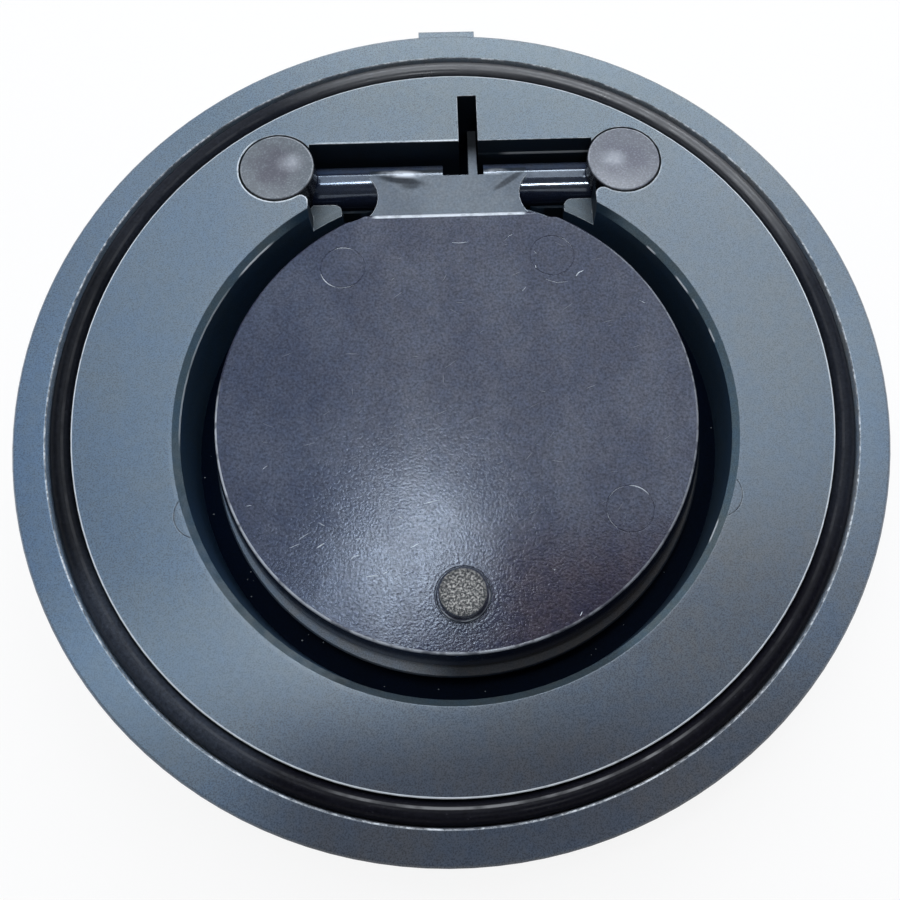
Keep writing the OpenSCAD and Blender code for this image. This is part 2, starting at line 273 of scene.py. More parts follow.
def giveMaterial(name, material):
    nodes[name].data.materials.clear()
    nodes[name].data.materials.append(material)


# Objects that the frame doesn't hold
def addObject(name, data):
    made = bpy.data.objects.new(name, data)
    bpy.context.scene.collection.objects.link(made)
    return made


def addMesh(name, mesh):
    data = bpy.data.meshes.new(name)
    mesh.to_mesh(data)
    mesh.free()
    return addObject(name, data)


# Body: turned outer faces in satin grey-blue; smoother walls left by the mould, darker in their own finish
# and darker still as painted shade in the recess and pocket; white edges, partly worn and partly painted
# highlights
bodyLook = {
    "faced": (0.072, 0.088, 0.115),
    # walls left by the mould: their own darker finish together with painted shade
    "mouldedShaded": (0.009, 0.014, 0.022),
    "wall": (0.026, 0.046, 0.074),
    # near black: painted shade on the trough's floor, deep in the recess
    "trough": (0.001, 0.003, 0.009),
    "chamfer": (0.070, 0.098, 0.118),
    "shadedChamfer": (0.010, 0.022, 0.036),
    "lug": (0.046, 0.054, 0.062),
    "seat": (0.030, 0.030, 0.034),
    # the seat where it is lit low on the left: painted light
    "rubbedSeat": (0.20, 0.22, 0.25),
    # painted light: the groove's walls are pale so that they show lit beside the ring
    "litGrooveWall": (0.34, 0.38, 0.43),
    "white": (0.72, 0.76, 0.80),
    # blue tint of the reflections: painted colour of bluish daylight
    "specularTint": (0.78, 0.92, 1.0),
    "facedGloss": 0.92,
    "mouldedGloss": 0.12,
    "lugGloss": 0.55,  # share of the faced gloss
    "facedRough": 0.27,
    "mouldedRough": 0.5,
    # Grain: cell, depth of relief and range of tone, then the cells of what breaks the white lines
    "grain": 0.34 * mm,
    "grainDepth": 0.03 * mm,
    "grainTone": (0.6, 1.4),
    "breaks": 5 * mm,
    "fineBreaks": 1.3 * mm,
    "edgeBreaks": 1.6 * mm,
    "rubBreaks": 3 * mm,
    # Mottles: cell, cool tint and warm tint
    "mottles": (
        (2.6 * mm, (0.95, 1.0, 1.05), (1.04, 1.0, 0.96)),
        (24 * mm, (0.93, 1.0, 1.07), (1.05, 1.01, 0.96)),
    ),
    # Heights and radii of the body's parts
    "rimRadius": (104 * mm, 106 * mm),  # the faced rim begins between these
    "edgeLandEnd": (93.5 * mm, 92 * mm),  # the worn edges end between these
    "grooveWalls": (100 * mm, 102 * mm),
    "recessOffset": 2.4 * mm,  # from the disc's centre, away from the hinge
    "recessRadius": 68.9 * mm,
    "leadWidth": 1.5 * mm,  # of the chamfer around the recess mouth
    "leadDepth": 2.0 * mm,
    "lugHeight": 20.8 * mm,
    "seatHeight": 16.0 * mm,
    "troughHeight": 10.0 * mm,
    "pocketLow": 40 * mm,
    "pocketBack": 73.49 * mm,
    "ledgeHeight": 24.1 * mm,
    # Stretches of the recess: direction, half width and fade in degrees. On them the chamfer is painted in
    # shade on the hinge's side, low down and low on the left, where it is also scuffed, and the seat is given
    # painted light on the last
    "stretches": {
        "hinge": (90, 35, 8),
        "low": (-88, 22, 14),
        "lowLeft": (-142, 22, 20),
        "rubbed": (-133, 26, 16),
    },
    # Painted shade and light on the chamfer: how its brightness changes low on the recess, low on its left,
    # and along X to its right
    "chamferLowShade": 0.45,
    "chamferLowLeftShade": 0.8,
    "chamferRightLight": (20 * mm, 50 * mm, 1.0, 1.25),
    # Painted light and shade as slow changes of tone: the colour to multiply by and the fades that bound it.
    # Bluer on the left, brighter on the outer land, darker low down and at the top, warmer low on the right
    "paintedLightTints": {
        "left": {"colour": (0.82, 0.91, 1.0), "fades": (("x", -28, -75),)},
        "outer": {"colour": (1.12, 1.19, 1.26),
                  "fades": (("fromAxis", 100.5, 101.5), ("y", 45, 0), ("y", -85, -55))},
        "low": {"colour": (0.55, 0.52, 0.53),
                "fades": (("y", -66, -92), ("x", -62, -30), ("x", 15, 60, 1.0, 0.5))},
        "high": {"colour": (0.86, 0.88, 0.88), "fades": (("y", 60, 88),)},
        "lowRight": {"colour": (1.0, 0.94, 0.90), "fades": (("x", 10, 45), ("y", -15, -50))},
    },
    # How white the lines along the groove, the mouth of the recess and the sharp edges are
    "grooveWhite": 0.95,
    "mouthWhite": 0.8,
    "edgeWhite": 0.9,
    # White lines along the groove, partly whitened edges and partly painted highlights: distance past its
    # edge and width
    "grooveHalf": 3.0 * mm,
    "innerLine": (0.17 * mm, 0.68 * mm),
    "outerLine": (0.12 * mm, 0.5 * mm),
    "innerLineFade": (20 * mm, 75 * mm, 1.0, 0.75),  # along Y, fainter on the hinge's side
    # These arcs are partly whitened edges and partly painted highlights.
    # White arcs on the plug holes and on the pocket's corners, whose centres are in mm: direction,
    # half width and fade in degrees, strength
    "arcWidth": 0.45 * mm,
    "holeArcRadius": 10.6 * mm,
    "holeArcs": {"left": (215, 75, 25, 0.75), "right": (285, 50, 25, 0.25)},
    "cornerArcRadius": 1.8 * mm,
    "cornerArcs": {(-40.4, 55.8): (45, 50, 25, 0.8), (41.1, 55.8): (150, 50, 25, 0.4)},
    # White stretches of the pocket's back edge, partly whitened and partly painted highlight, and a painted
    # highlight along the ledge in it: from and to along X, strength
    "pocketLines": ((-36 * mm, 3 * mm, 0.5), (-8 * mm, 3 * mm, 1.0)),
    "ledgeLine": (17 * mm, 39 * mm, 0.35),
    # Painted glints along the inner edge of the mouth: direction, half width in degrees, strength
    "mouthGlints": ((139, 3.0, 1.0), (158, 6.0, 0.35), (40, 0.8, 0.9), (29.5, 1.4, 1.0), (24, 0.8, 0.6),
              (16, 1.0, 0.8), (-28, 1.5, 0.7), (176, 5.0, 0.4)),
    "edgeRadius": 0.4 * mm,
}


def nearFace(tree, spot, depth, soft=0.2 * mm):
    return rangeOf(tree, spot.height, bodyHigh - depth - soft, bodyHigh - depth)


def bodySurface(tree, look):
    spot = surfaceOf(tree)
    spot.up = upMask(tree, spot)
    spot.fromAxis = flatDistance(tree, spot.place, (0, 0))
    spot.recess = (0, discCentre.y - look["recessOffset"])
    spot.fromRecess = flatDistance(tree, spot.place, spot.recess)
    spot.leadLow = bodyHigh - look["leadDepth"]
    spot.leadRadius = look["recessRadius"] + look["leadWidth"]
    spot.stretches = aimMasks(tree, spot.place, spot.recess, look["stretches"])
    spot.grain = noiseOf(tree, spot.place, look["grain"], 3, 0.65)
    spot.breaks = noiseOf(tree, spot.place, look["breaks"], 3, 0.6)
    spot.fineBreaks = noiseOf(tree, spot.place, look["fineBreaks"], 3, 0.7)
    return spot


def bodyZones(tree, spot, look):  # where each kind of surface lies, in the order in which they are painted
    upright = rangeOf(tree, calc(tree, "ABSOLUTE", spot.facing), 0.3, 0.1)
    height, recess, trough = spot.height, look["recessRadius"], look["troughHeight"]
    lugHeight, seatHeight = look["lugHeight"], look["seatHeight"]
    mouth = bandOf(tree, spot.fromRecess, recess - 0.02 * mm, spot.leadRadius + 0.1 * mm, 0.05 * mm)
    overLead = rangeOf(tree, height, spot.leadLow - 0.05 * mm, spot.leadLow + 0.02 * mm)
    return {
        "wall": multiply(tree, upright, circleLine(tree, spot.fromRecess, recess, 1.6 * mm)),
        "trough": multiply(tree, spot.up, rangeOf(tree, height, trough + 0.3 * mm, trough + 0.1 * mm)),
        "litGrooveWall": multiply(tree, upright, bandOf(tree, spot.fromAxis, *look["grooveWalls"], 1 * mm)),
        "chamfer": multiply(tree, mouth, overLead),
        "lug": multiply(tree, spot.up, bandOf(tree, height, lugHeight - 0.2 * mm, lugHeight + 0.2 * mm)),
        "seat": multiply(tree, spot.up, bandOf(tree, height, seatHeight - 0.5 * mm, seatHeight + 0.1 * mm)),
        "faced": highest(tree, nearFace(tree, spot, 0.03 * mm, 0.05 * mm),
                         rangeOf(tree, spot.fromAxis, *look["rimRadius"]),
                         rangeOf(tree, height, 0.3 * mm, 0.1 * mm)),  # the inlet face
    }


def bodyColour(tree, spot, zones, look):
    # painted shade on the chamfer low down and low on the left, painted light towards its right
    chamfer = scaled(tree, look["chamfer"], shareOf(tree, spot.stretches["low"], 1.0, look["chamferLowShade"]))
    chamfer = scaled(tree, chamfer, rangeOf(tree, spot.x, *look["chamferRightLight"]))
    chamfer = scaled(tree, chamfer, shareOf(tree, spot.stretches["lowLeft"], 1.0, look["chamferLowLeftShade"]))
    paints = {name: look[name] for name in zones}
    paints["chamfer"] = blendColour(tree, spot.stretches["hinge"], chamfer, look["shadedChamfer"])
    # painted light on the seat, low on its left
    paints["seat"] = blendColour(tree, spot.stretches["rubbed"], look["seat"], look["rubbedSeat"])
    colour = look["mouldedShaded"]
    for name, zone in zones.items():
        colour = blendColour(tree, zone, colour, paints[name])
    colour = grained(tree, colour, spot.grain, *look["grainTone"])
    for cell, cool, warm in look["mottles"]:
        colour = mottled(tree, colour, noiseOf(tree, spot.place, cell, 2), cool, warm)
    return colour


# white lines on the groove's edges: partly whitened, partly painted highlights
def grooveLines(tree, spot, look):
    innerPast, innerWidth = look["innerLine"]
    outerPast, outerWidth = look["outerLine"]
    inner = circleLine(tree, spot.fromAxis, ringRadius - look["grooveHalf"] - innerPast, innerWidth)
    inner = multiply(tree, inner, rangeOf(tree, spot.breaks, 0.30, 0.42, 0.6, 1.0),
                     rangeOf(tree, spot.y, *look["innerLineFade"]))
    outer = circleLine(tree, spot.fromAxis, ringRadius + look["grooveHalf"] + outerPast, outerWidth)
    outer = multiply(tree, outer, rangeOf(tree, spot.fineBreaks, 0.42, 0.58, 0.3, 1.0),
                     rangeOf(tree, spot.breaks, 0.4, 0.6, 0.4, 1.0))
    return multiply(tree, highest(tree, inner, outer), nearFace(tree, spot, 0.2 * mm))


# white arcs on the hole and corner edges: partly whitened, partly painted highlights
def holeArcs(tree, spot, look):
    circles = [(plugCentres[side], look["holeArcRadius"], arc) for side, arc in look["holeArcs"].items()]
    for (x, y), arc in look["cornerArcs"].items():
        circles.append(((x * mm, y * mm), look["cornerArcRadius"], arc))
    arcs = []
    for centre, radius, arc in circles:
        line = circleLine(tree, flatDistance(tree, spot.place, centre), radius, look["arcWidth"])
        arcs.append(multiply(tree, line, highestAim(tree, spot.place, centre, [arc])))
    return multiply(tree, highest(tree, *arcs), spot.up, rangeOf(tree, spot.fineBreaks, 0.36, 0.5, 0.35, 1.0))


# the pocket's back edge and ledge: white lines, partly painted highlights
def pocketLines(tree, spot, look):
    back, ledge = look["pocketBack"], look["ledgeHeight"]
    ledgeStart, ledgeEnd, ledgeWhite = look["ledgeLine"]
    stretches = [multiply(tree, bandOf(tree, spot.x, start, end, 1 * mm), strength)
                 for start, end, strength in look["pocketLines"]]
    backEdge = multiply(tree, bandOf(tree, spot.y, back - 0.05 * mm, back + 0.4 * mm, 0.12 * mm),
                        highest(tree, *stretches), nearFace(tree, spot, 0.1 * mm),
                        rangeOf(tree, spot.fineBreaks, 0.36, 0.52, 0.35, 1.0))
    ledgeEdge = multiply(tree, rangeOf(tree, spot.y, back - 0.7 * mm, back - 0.5 * mm),
                         bandOf(tree, spot.height, ledge - 0.35 * mm, ledge + 0.1 * mm),
                         bandOf(tree, spot.x, ledgeStart, ledgeEnd, 4 * mm), ledgeWhite)
    return highest(tree, backEdge, ledgeEdge)


# the mouth's painted glints, and faint scuffs around it low on the left
def mouthLines(tree, spot, chamfer, look):
    lowLeft = spot.stretches["lowLeft"]
    aims = [(angle, spread, spread, strength) for angle, spread, strength in look["mouthGlints"]]
    mouth = multiply(tree, circleLine(tree, spot.fromRecess, look["recessRadius"] + 0.1 * mm, 0.7 * mm),
                     bandOf(tree, spot.height, spot.leadLow - 0.1 * mm, spot.leadLow + 0.3 * mm),
                     highestAim(tree, spot.place, spot.recess, aims))
    outerRub = multiply(tree, circleLine(tree, spot.fromRecess, spot.leadRadius + 0.4 * mm, 1.2 * mm),
                        rangeOf(tree, spot.breaks, 0.38, 0.6, 0.015, 0.06), shareOf(tree, lowLeft, 0.3, 1.0))
    rubBreaks = noiseOf(tree, spot.place, look["rubBreaks"], 3)
    leadRub = multiply(tree, chamfer, lowLeft, rangeOf(tree, rubBreaks, 0.35, 0.62, 0.012, 0.05))
    return highest(tree, multiply(tree, mouth, look["mouthWhite"]), multiply(tree, outerRub, spot.up),
                   leadRub)


# sharp edges painted white, partly worn and partly painted highlights
def bodyEdges(tree, spot, edge, lug, look):
    wearAndGlint = rangeOf(tree, noiseOf(tree, spot.place, look["edgeBreaks"], 3), 0.38, 0.58, 0.25, 1.0)
    exposed = highest(tree, nearFace(tree, spot, 0.3 * mm), multiply(tree, lug, 0.6))
    offMouth = rangeOf(tree, apart(tree, spot.fromRecess, spot.leadRadius), 0.4 * mm, 0.7 * mm, 0.15, 1.0)
    atPocket = rangeOf(tree, spot.y, look["pocketLow"] - 2 * mm, look["pocketLow"], 0.4, 1.0)
    onLand = rangeOf(tree, spot.fromAxis, *look["edgeLandEnd"])
    return multiply(tree, edge, wearAndGlint, exposed, offMouth, onLand, atPocket)


def makeBodyPlastic(look):
    material, tree = newMaterial("bodyPlastic")
    spot = bodySurface(tree, look)
    zones = bodyZones(tree, spot, look)
    # the painted light and shade tint both the colour and the reflections
    hue = hueOf(tree, spot, look["paintedLightTints"])
    colour = tinted(tree, bodyColour(tree, spot, zones, look), hue)
    bevel, edge = edgeMask(tree, look["edgeRadius"])
    white = highest(tree, multiply(tree, grooveLines(tree, spot, look), look["grooveWhite"]),
                    mouthLines(tree, spot, zones["chamfer"], look), holeArcs(tree, spot, look),
                    pocketLines(tree, spot, look),
                    multiply(tree, bodyEdges(tree, spot, edge, zones["lug"], look), look["edgeWhite"]))
    colour = blendColour(tree, white, colour, look["white"])

    # Gloss of the faced parts, dulled in the trough and roughened where the edges are white
    gloss = highest(tree, zones["faced"], multiply(tree, zones["lug"], look["lugGloss"]))
    specular = shareOf(tree, gloss, look["mouldedGloss"], look["facedGloss"], smooth=False)
    specular = multiply(tree, specular, spreadOf(tree, spot.grain, 0.8, 1.2, smooth=False),
                        shareOf(tree, zones["trough"], 1.0, 0.15))
    rough = shareOf(tree, gloss, look["mouldedRough"], look["facedRough"], smooth=False)
    rough = calc(tree, "ADD", rough, spreadOf(tree, spot.grain, -0.02, 0.04, smooth=False))
    rough = calc(tree, "ADD", rough, multiply(tree, white, 0.25))
    finishMaterial(tree, Base_Color=colour, Roughness=rough, Specular_IOR_Level=specular,
                   Normal=bumpOf(tree, spot.grain, 0.25, look["grainDepth"], bevel),
                   Specular_Tint=tinted(tree, hue, look["specularTint"]))
    return material


giveMaterial("body", makeBodyPlastic(bodyLook))
print("stage 2: body finished")


# Flapper: darker semi-gloss moulding, with a pebbled skin on its flat tops and a rough gate on the stud
flapperLook = {
    "top": (0.030, 0.030, 0.052),
    "neck": (0.034, 0.042, 0.053),
    # darker than the tops: painted shade on the flapper's sides and underside
    "side": (0.014, 0.018, 0.033),
    # painted light on the disc's side, low on its left
    "rubbedSide": (0.036, 0.049, 0.080),
    # dark marks on the neck beside the barrel: painted shade
    "stain": (0.006, 0.007, 0.010),
    # painted light on the barrel's crown
    "barrelCrownLight": (0.055, 0.070, 0.105),
    # white of the painted highlights on the flapper's edges
    "highlightWhite": (0.66, 0.70, 0.76),
    "gateDark": (0.020, 0.019, 0.018),
    "gateLight": (0.55, 0.53, 0.50),
    # blue tint of the reflections: painted colour of bluish daylight
    "specularTint": (0.76, 0.87, 1.0),
    "topGloss": 0.44,
    "neckGloss": 0.92,
    "barrelGain": 2.6,  # how much brighter the polished line on the barrel shines
    "roughness": 0.15,
    # Cells of the pebbled skin, the two mottles with their tints, the gate and what breaks the worn edge
    "pebble": 0.62 * mm,
    "pebbleDepth": 0.042 * mm,
    "tone": 3.2 * mm,
    "toneTints": ((0.94, 0.99, 1.06), (1.07, 1.0, 0.96)),
    "smudge": 15 * mm,
    "smudgeTints": ((0.88, 0.92, 0.98), (1.10, 1.10, 1.04)),
    "speck": 0.55 * mm,
    "breaks": 3 * mm,
    # Faint rings around the stud: their pitch, where they fade out, their strength
    "ripplePitch": 1.3 * mm,
    "rippleEnd": (11 * mm, 7 * mm),
    "rippleDepth": 0.08,
    # Heights of the flapper's tops and, along X, the neck's middle, its half width and where it is worn
    "topHeight": 26.5 * mm,
    "neckHeight": 24.4 * mm,
    "neckMiddle": -0.8 * mm,
    "neckHalf": 21.8 * mm,
    "flankHalf": 17 * mm,
    # Along Y: the step from disc to neck, the parts of the barrel, and where the arm lies in its slot's shade
    "stepEdge": (52.15 * mm, 53.3 * mm),
    "barrelStart": (59.5 * mm, 60.5 * mm),
    "barrelPolish": (62.6 * mm, 64.6 * mm),
    "barrelCrown": (67.2 * mm, 68.4 * mm),
    "armShade": (68 * mm, 76 * mm),
    "stud": (-0.3, -50.0),  # centre in mm
    "studRadius": 5.85 * mm,
    "edgeRadius": 0.3 * mm,
    # Painted light and shade as slow changes of tone, as on the body: darker on the left, darker and warmer
    # low on the right
    "paintedLightTints": {
        "left": {"colour": (0.74, 0.79, 0.87), "fades": (("x", -12, -42),)},
        "lowRight": {"colour": (0.96, 0.84, 0.80), "fades": (("x", 3, 16), ("y", -28, -48))},
    },
    # Directions, half widths and fades in degrees: the disc's side with painted light, and the stud's collar
    # with a painted highlight
    "rubbedSideAim": (-140, 35, 20),
    "collarAim": (-75, 60, 30),
    # Where a highlight is painted on the disc's edge, with a strength for each stretch
    "rimHighlightAims": ((-128, 50, 14, 0.85), (-20, 55, 20, 0.4)),
    "rimRest": 0.25,  # strength elsewhere, which fades towards the hinge
    "rimRestFade": (10 * mm, -45 * mm, 0.12, 1.0),
    "rimWidth": 0.9 * mm,
    # How white each painted highlight is
    "rimWhite": 0.8,
    "flankWhite": 0.75,
    "stepWhite": 0.9,
    "collarWhite": 0.6,
    # Painted shade on the neck and painted highlights on the barrel: place and size in mm, turn in degrees
    "neckShadeSpots": (
        {"centre": (-14.0, 65.2), "size": (6.6, 1.3), "turn": -12, "soft": 0.45, "depth": 0.75},
        {"centre": (-11.2, 63.6), "size": (3.0, 1.5), "turn": 0, "soft": 0.5, "depth": 0.6},
        {"centre": (16.0, 64.3), "size": (5.2, 0.9), "turn": 35, "soft": 0.35, "depth": 0.6},
    ),
    # painted highlights on the barrel
    "barrelGlints": (
        {"centre": (-13.6, 67.2), "size": (4.6, 1.0), "turn": -4, "soft": 0.7, "depth": 1.0},
        {"centre": (11.6, 67.2), "size": (3.0, 0.9), "turn": 4, "soft": 0.7, "depth": 0.6},
    ),
    "barrelGlintHeight": (22.0 * mm, 22.6 * mm),
}


def flapperSurface(tree, look):
    spot = surfaceOf(tree)
    spot.up = upMask(tree, spot)
    spot.beside = apart(tree, spot.x, look["neckMiddle"])
    spot.stud = (look["stud"][0] * mm, look["stud"][1] * mm)
    spot.fromStud = flatDistance(tree, spot.place, spot.stud)
    spot.armShade = rangeOf(tree, spot.y, *look["armShade"], 1.0, 0.05)
    spot.pebble = noiseOf(tree, spot.place, look["pebble"], 2, 0.6)
    spot.tone = noiseOf(tree, spot.place, look["tone"], 3)
    spot.smudge = noiseOf(tree, spot.place, look["smudge"], 4, 0.6, stretch=(1.0, 0.6, 1.0))
    spot.speck = noiseOf(tree, spot.place, look["speck"], 4, 0.75)
    return spot


def flapperZones(tree, spot, look):
    top, neckHigh, neckHalf = look["topHeight"], look["neckHeight"], look["neckHalf"]
    zones = SimpleNamespace()
    zones.top = multiply(tree, spot.up, rangeOf(tree, spot.height, top - 0.4 * mm, top - 0.1 * mm))
    zones.neck = multiply(tree, spot.up, rangeOf(tree, spot.beside, neckHalf + 0.1 * mm, neckHalf - 0.1 * mm),
                          bandOf(tree, spot.height, neckHigh - 0.3 * mm, neckHigh + 0.3 * mm, 0.2 * mm))
    zones.gate = multiply(tree, spot.up,
                          rangeOf(tree, spot.fromStud, look["studRadius"], look["studRadius"] - 0.3 * mm))
    steep = rangeOf(tree, calc(tree, "ABSOLUTE", spot.facing), 0.9, 0.6)
    zones.lowLeft = multiply(tree, towards(tree, spot.place, discCentre, *look["rubbedSideAim"]), steep)
    zones.barrel = multiply(tree, rangeOf(tree, spot.y, *look["barrelStart"]),
                            rangeOf(tree, zones.neck, 1.0, 0.0), spot.armShade,
                            rangeOf(tree, spot.height, neckHigh + 0.6 * mm, neckHigh + 0.4 * mm))
    zones.polished = multiply(tree, zones.barrel, bandOf(tree, spot.y, *look["barrelPolish"], 0.8 * mm))
    zones.crown = multiply(tree, zones.barrel, rangeOf(tree, spot.y, *look["barrelCrown"]))
    zones.stained = multiply(tree, zones.neck, ovalsOf(tree, spot.place, look["neckShadeSpots"]))
    zones.rubbed = multiply(tree, rangeOf(tree, spot.height, *look["barrelGlintHeight"]),
                            ovalsOf(tree, spot.place, look["barrelGlints"]))
    return zones


def flapperColour(tree, spot, zones, speckle, hue, look):
    colour = blendColour(tree, zones.lowLeft, look["side"], look["rubbedSide"])
    for zone, paint in ((zones.top, "top"), (zones.neck, "neck"), (zones.stained, "stain"),
                        (zones.crown, "barrelCrownLight")):
        colour = blendColour(tree, zone, colour, look[paint])
    colour = tinted(tree, scaled(tree, colour, spot.armShade), hue)
    colour = scaled(tree, colour, calc(tree, "ADD", speckle, 1.0))
    colour = mottled(tree, colour, spot.smudge, *look["smudgeTints"], 0.12)
    colour = mottled(tree, colour, spot.tone, *look["toneTints"])
    studRadius = look["studRadius"]
    gate = blendColour(tree, rangeOf(tree, spot.speck, 0.44, 0.66), look["gateDark"], look["gateLight"])
    gate = scaled(tree, gate, rangeOf(tree, spot.fromStud, studRadius * 0.5, studRadius, 1.1, 0.6))
    return blendColour(tree, zones.gate, colour, gate)


# Painted highlights in white: the disc's edge, the neck's flanks, the step before it, the collar of the stud,
# the barrel
def flapperHighlights(tree, spot, zones, edge, look):
    top, neckHigh = look["topHeight"], look["neckHeight"]
    neckHalf, flank = look["neckHalf"], look["flankHalf"]
    stepLow, stepHigh = look["stepEdge"]
    breaks = rangeOf(tree, noiseOf(tree, spot.place, look["breaks"], 3), 0.36, 0.56, 0.35, 1.0)
    rest = multiply(tree, rangeOf(tree, spot.y, *look["rimRestFade"]), look["rimRest"])
    fromDisc = flatDistance(tree, spot.place, discCentre)
    rim = multiply(tree, circleLine(tree, fromDisc, discRadius - 0.3 * mm, look["rimWidth"]),
                   rangeOf(tree, spot.height, top - 1.0 * mm, top - 0.6 * mm),
                   highest(tree, highestAim(tree, spot.place, discCentre, look["rimHighlightAims"]), rest), breaks)
    flanks = multiply(tree, edge, rangeOf(tree, spot.beside, flank - 0.5 * mm, flank + 0.5 * mm),
                      bandOf(tree, spot.height, neckHigh - 0.7 * mm, neckHigh + 0.1 * mm, 0.2 * mm))
    step = multiply(tree, bandOf(tree, spot.y, stepLow, stepHigh, 0.25 * mm),
                    rangeOf(tree, spot.height, top - 1.5 * mm, top - 1.1 * mm),
                    rangeOf(tree, spot.beside, neckHalf - 0.5 * mm, neckHalf - 2.5 * mm),
                    rangeOf(tree, spot.tone, 0.3, 0.5, 0.6, 1.0))
    collar = multiply(tree, circleLine(tree, spot.fromStud, look["studRadius"] + 0.45 * mm, 0.35 * mm),
                      towards(tree, spot.place, spot.stud, *look["collarAim"]),
                      rangeOf(tree, breaks, 0.4, 1.0, 0.3, 0.9))
    barrelGlints = multiply(tree, zones.rubbed, rangeOf(tree, spot.tone, 0.35, 0.55, 0.3, 0.9))
    return highest(tree, multiply(tree, rim, look["rimWhite"]), multiply(tree, flanks, look["flankWhite"]),
                   multiply(tree, step, look["stepWhite"]), multiply(tree, collar, look["collarWhite"]), barrelGlints)


def flapperRelief(tree, spot, zones, bevel, look):  # pebbled, with faint rings around the stud
    wave = calc(tree, "SINE", multiply(tree, spot.fromStud, 2 * math.pi / look["ripplePitch"]))
    ripple = multiply(tree, wave, rangeOf(tree, spot.fromStud, *look["rippleEnd"], 0.0, look["rippleDepth"]))
    relief = multiply(tree, calc(tree, "ADD", spot.pebble, ripple), shareOf(tree, zones.top, 0.08, 1.0))
    relief = calc(tree, "ADD", relief, multiply(tree, zones.gate, spot.speck, 4.0))
    return bumpOf(tree, relief, 1.0, look["pebbleDepth"], bevel)


def makeFlapperPlastic(look):
    material, tree = newMaterial("flapperPlastic")
    spot = flapperSurface(tree, look)
    zones = flapperZones(tree, spot, look)
    hue = hueOf(tree, spot, look["paintedLightTints"])
    speckle = multiply(tree, spreadOf(tree, spot.pebble, -1.0, 1.0, smooth=False),
                       shareOf(tree, zones.top, 0.22, 0.45))
    bevel, edge = edgeMask(tree, look["edgeRadius"])
    colour = blendColour(tree, flapperHighlights(tree, spot, zones, edge, look),
                         flapperColour(tree, spot, zones, speckle, hue, look), look["highlightWhite"])

    # Gloss: the neck and the barrel shine more than the top, the marks of painted shade on the neck and the
    # side with painted light less
    specular = shareOf(tree, zones.top, look["neckGloss"], look["topGloss"], smooth=False)
    specular = multiply(tree, specular, calc(tree, "ADD", multiply(tree, speckle, 0.6), 1.0), spot.armShade,
                        shareOf(tree, zones.polished, 1.0, look["barrelGain"]),
                        shareOf(tree, calc(tree, "SUBTRACT", zones.lowLeft, zones.top), 1.0, 0.5),
                        shareOf(tree, zones.stained, 1.0, 0.1),
                        rangeOf(tree, spot.smudge, 0.38, 0.62, 0.88, 1.1))
    rough = calc(tree, "ADD", look["roughness"], spreadOf(tree, spot.tone, -0.02, 0.02))
    rough = calc(tree, "ADD", rough, multiply(tree, zones.gate, 0.3))
    rough = multiply(tree, rough, shareOf(tree, zones.barrel, 1.0, 0.8))
    finishMaterial(tree, Base_Color=colour, Roughness=rough, Specular_IOR_Level=specular,
                   Normal=flapperRelief(tree, spot, zones, bevel, look),
                   Specular_Tint=tinted(tree, hue, look["specularTint"]))
    return material


giveMaterial("flapper", makeFlapperPlastic(flapperLook))
print("stage 3: flapper finished")


# Scratches on the disc and painted highlights on its pin marks, as thin ribbons just over its top
scratchLook = {
    "base": (0.46, 0.50, 0.56),
    "faint": (0.13, 0.14, 0.17),
    "roughness": 0.45,
    "fleck": 0.4 * mm,
    "fleckDepth": 0.02 * mm,
    "lift": 0.015 * mm,
    # Scratches seen one by one: points in mm from the valve's centre, then the width in mm
    "strokes": (
        ((-41.7, -37.1), (-39.3, -36.2), 0.10), ((-35.1, -37.4), (-33.4, -36.3), 0.26),
        ((-27.0, -40.4), (-26.0, -39.7), (-24.7, -39.5), 0.15), ((-23.2, -44.8), (-20.5, -44.6), 0.20),
        ((-19.3, -44.3), (-18.2, -43.8), 0.14), ((-9.3, -27.5), (-5.4, -26.8), 0.09),
        ((-34.8, -31.2), (-33.2, -32.1), 0.10), ((-39.4, -35.1), (-37.0, -33.6), 0.08),
        ((-52.4, -26.4), (-51.0, -26.2), 0.10), ((-25.8, -35.6), (-24.5, -35.6), 0.12),
        ((-12.8, -38.3), (-10.6, -37.3), 0.09), ((32.4, 32.9), (33.1, 33.9), (34.5, 34.6), 0.26),
        ((21.7, 36.6), (21.9, 35.7), 0.16), ((24.2, 32.3), (27.1, 31.2), (30.2, 31.4), 0.08),
        ((-0.3, 44.0), (1.9, 43.9), (4.0, 44.1), 0.13), ((27.7, -55.3), (27.1, -56.3), 0.22),
        ((21.6, -45.1), (21.9, -45.1), 0.26), ((17.8, 29.0), (18.9, 30.2), 0.08),
        ((14.8, 45.4), (16.1, 46.1), 0.09), ((21.6, 40.7), (22.3, 40.0), 0.09),
        ((-15.4, -30.5), (-14.4, -31.1), 0.10), ((-48.8, -17.2), (-47.4, -16.3), 0.08),
        ((48.7, 25.3), (50.2, 24.4), 0.08),
    ),
    # Painted highlights on the round pin marks: centre in mm, first and last angle, width in mm
    "pinRadius": 5.9,
    "pinArcs": (
        ((-29.5, 37.5), 62, 112, 0.14), ((-29.5, 37.5), 196, 252, 0.22), ((-29.5, 37.5), 255, 300, 0.07),
        ((41.4, -30.9), 34, 88, 0.24), ((41.4, -30.9), 188, 232, 0.07), ((41.4, -30.9), 100, 150, 0.06),
        ((26.4, 39.4), 20, 70, 0.05),
    ),
    "pinSteps": 14,
    # Hairlines strewn over the disc: sizes in mm, lean in degrees
    "hairlines": 60,
    "field": 56,  # radius that they start in
    "fieldEnd": 59,  # radius that they end in
    "stepClear": 44,  # none starts past this on the hinge's side
    "studClear": 12,  # or this close to the stud
    "lengths": (1, 3.5),
    "widths": (0.04, 0.11),
    "lean": 20,
}


